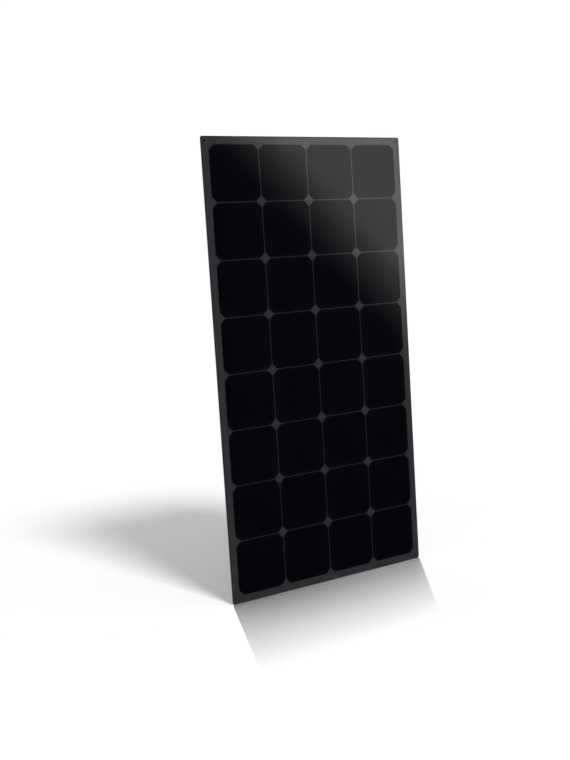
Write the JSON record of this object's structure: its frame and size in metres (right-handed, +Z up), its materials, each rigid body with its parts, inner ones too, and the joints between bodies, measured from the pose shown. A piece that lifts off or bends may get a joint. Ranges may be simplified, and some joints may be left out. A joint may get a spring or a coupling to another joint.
{
  "type": "solar panel",
  "caption": "Thin frameless solar panel with black back-contact cells, corner mounting holes, and a rear junction box with hinged lid, clipped cables, and plug and socket connectors.",
  "frame": {"origin": "centre of the backing board's rear face, halfway between the four corner holes", "axes": "+X to the right seen from the front, +Z up along the long side, +Y out of the rear face; the cells face -Y"},
  "size_m": [0.542, 0.0216, 1.05],
  "materials": {
    "board": "woven glass-fibre laminate, satin black",
    "insulating_film": "black polyester film",
    "encapsulant": "black encapsulant under a clear film, charcoal grey",
    "cell": "black monocrystalline silicon with a faint blue cast",
    "copper": "bare soft copper",
    "tinned_copper": "tinned copper, dull",
    "insulator": "black insulating tape",
    "clear_encapsulant": "clear encapsulant",
    "front_film": "clear fluoropolymer film with a soft sheen",
    "sealant": "cured black sealant",
    "box_plastic": "black moulded plastic, fine spark-eroded texture",
    "steel": "turned stainless steel",
    "rubber": "black rubber",
    "grey_rubber": "dark grey silicone rubber",
    "diode": "black moulded epoxy with a silver band",
    "cable_jacket": "black cross-linked cable jacket",
    "pad": "dark grey adhesive foam tape"
  },
  "bodies": {
    "panel": {"backing_board": "board", "insulating_film": "insulating_film", "rear_encapsulant": "encapsulant", "cell_string_1": "cell", "cell_string_2": "cell", "cell_string_3": "cell", "cell_string_4": "cell", "cell_interconnects": "tinned_copper", "bus_ribbon_lower_left": "tinned_copper", "bus_ribbon_lower_right": "tinned_copper", "centre_lead_ribbon": "tinned_copper", "positive_lead_ribbon": "tinned_copper", "negative_lead_ribbon": "tinned_copper", "lead_insulators": "insulator", "front_encapsulant": "clear_encapsulant", "front_film": "front_film", "edge_seal": "sealant", "box_adhesive": "sealant", "box_base": "box_plastic", "hinge_pins": "steel", "terminal_positive": "tinned_copper", "terminal_centre": "tinned_copper", "terminal_negative": "tinned_copper", "bypass_diodes": "diode", "diode_leads": "tinned_copper", "gland_seals": "grey_rubber", "clip_pads": "pad", "cable_clips": "box_plastic", "cable_positive": "cable_jacket", "cable_negative": "cable_jacket", "conductor_positive": "copper", "conductor_negative": "copper"},
    "lid": {"box_lid": "box_plastic", "lid_gasket": "grey_rubber"},
    "screw_washer_left": {"screw_washer_left": "rubber"},
    "lid_screw_left": {"lid_screw_left": "steel"},
    "screw_washer_right": {"screw_washer_right": "rubber"},
    "lid_screw_right": {"lid_screw_right": "steel"},
    "gland_cage_positive": {"gland_cage_positive": "box_plastic"},
    "gland_nut_positive": {"gland_nut_positive": "box_plastic"},
    "gland_cage_negative": {"gland_cage_negative": "box_plastic"},
    "gland_nut_negative": {"gland_nut_negative": "box_plastic"},
    "tail_positive": {"cable_tail_positive": "cable_jacket", "conductor_tail_positive": "copper", "plug_body": "box_plastic", "plug_contact": "tinned_copper", "plug_o_ring": "grey_rubber", "plug_cable_seal": "grey_rubber"},
    "plug_cage": {"plug_cage": "box_plastic"},
    "plug_nut": {"plug_nut": "box_plastic"},
    "tail_negative": {"cable_tail_negative": "cable_jacket", "conductor_tail_negative": "copper", "socket_body": "box_plastic", "socket_contact": "tinned_copper", "socket_cable_seal": "grey_rubber"},
    "socket_cage": {"socket_cage": "box_plastic"},
    "socket_nut": {"socket_nut": "box_plastic"}
  },
  "joints": [
    {"name": "lid_hinge", "type": "hinge", "parent": "panel", "child": "lid", "pos_m": [0, 0.0142, 0.4594], "axis": [1, 0, 0], "range_deg": [0, 115]},
    {"name": "lid_screw_left_travel", "type": "slide", "parent": "lid", "child": "screw_washer_left", "axis": [0, 1, 0], "range_m": [0, 0.004]},
    {"name": "lid_screw_left_turn", "type": "hinge", "parent": "screw_washer_left", "child": "lid_screw_left", "pos_m": [-0.047, 0.0165, 0.403], "axis": [0, 1, 0], "range_deg": [0, 1440]},
    {"name": "lid_screw_right_travel", "type": "slide", "parent": "lid", "child": "screw_washer_right", "axis": [0, 1, 0], "range_m": [0, 0.004]},
    {"name": "lid_screw_right_turn", "type": "hinge", "parent": "screw_washer_right", "child": "lid_screw_right", "pos_m": [0.047, 0.0165, 0.403], "axis": [0, 1, 0], "range_deg": [0, 1440]},
    {"name": "gland_nut_positive_travel", "type": "slide", "parent": "panel", "child": "gland_cage_positive", "axis": [0, 0, -1], "range_m": [0, 0.003]},
    {"name": "gland_nut_positive_turn", "type": "hinge", "parent": "gland_cage_positive", "child": "gland_nut_positive", "pos_m": [-0.033, 0.0086, 0.384], "axis": [0, 0, -1], "range_deg": [0, 720]},
    {"name": "gland_nut_negative_travel", "type": "slide", "parent": "panel", "child": "gland_cage_negative", "axis": [0, 0, -1], "range_m": [0, 0.003]},
    {"name": "gland_nut_negative_turn", "type": "hinge", "parent": "gland_cage_negative", "child": "gland_nut_negative", "pos_m": [0.033, 0.0086, 0.384], "axis": [0, 0, -1], "range_deg": [0, 720]},
    {"name": "positive_tail_swing", "type": "hinge", "parent": "panel", "child": "tail_positive", "pos_m": [-0.133, 0.0086, 0.062], "axis": [1, 0, 0], "range_deg": [0, 70]},
    {"name": "plug_nut_travel", "type": "slide", "parent": "tail_positive", "child": "plug_cage", "axis": [0, 0, 1], "range_m": [0, 0.003]},
    {"name": "plug_nut_turn", "type": "hinge", "parent": "plug_cage", "child": "plug_nut", "pos_m": [-0.133, 0.0086, -0.032], "axis": [0, 0, 1], "range_deg": [0, 720]},
    {"name": "negative_tail_swing", "type": "hinge", "parent": "panel", "child": "tail_negative", "pos_m": [0.133, 0.0086, 0.062], "axis": [1, 0, 0], "range_deg": [0, 70]},
    {"name": "socket_nut_travel", "type": "slide", "parent": "tail_negative", "child": "socket_cage", "axis": [0, 0, 1], "range_m": [0, 0.003]},
    {"name": "socket_nut_turn", "type": "hinge", "parent": "socket_cage", "child": "socket_nut", "pos_m": [0.133, 0.0086, -0.032], "axis": [0, 0, 1], "range_deg": [0, 720]}
  ],
  "couplings": [
    {"joint": "lid_screw_left_travel", "follows": "lid_screw_left_turn", "m_per_rad": 0.00015914},
    {"joint": "lid_screw_right_travel", "follows": "lid_screw_right_turn", "m_per_rad": 0.00015914},
    {"joint": "gland_nut_positive_travel", "follows": "gland_nut_positive_turn", "m_per_rad": 0.00023871},
    {"joint": "gland_nut_negative_travel", "follows": "gland_nut_negative_turn", "m_per_rad": 0.00023871},
    {"joint": "plug_nut_travel", "follows": "plug_nut_turn", "m_per_rad": 0.00023871},
    {"joint": "socket_nut_travel", "follows": "socket_nut_turn", "m_per_rad": 0.00023871}
  ]
}
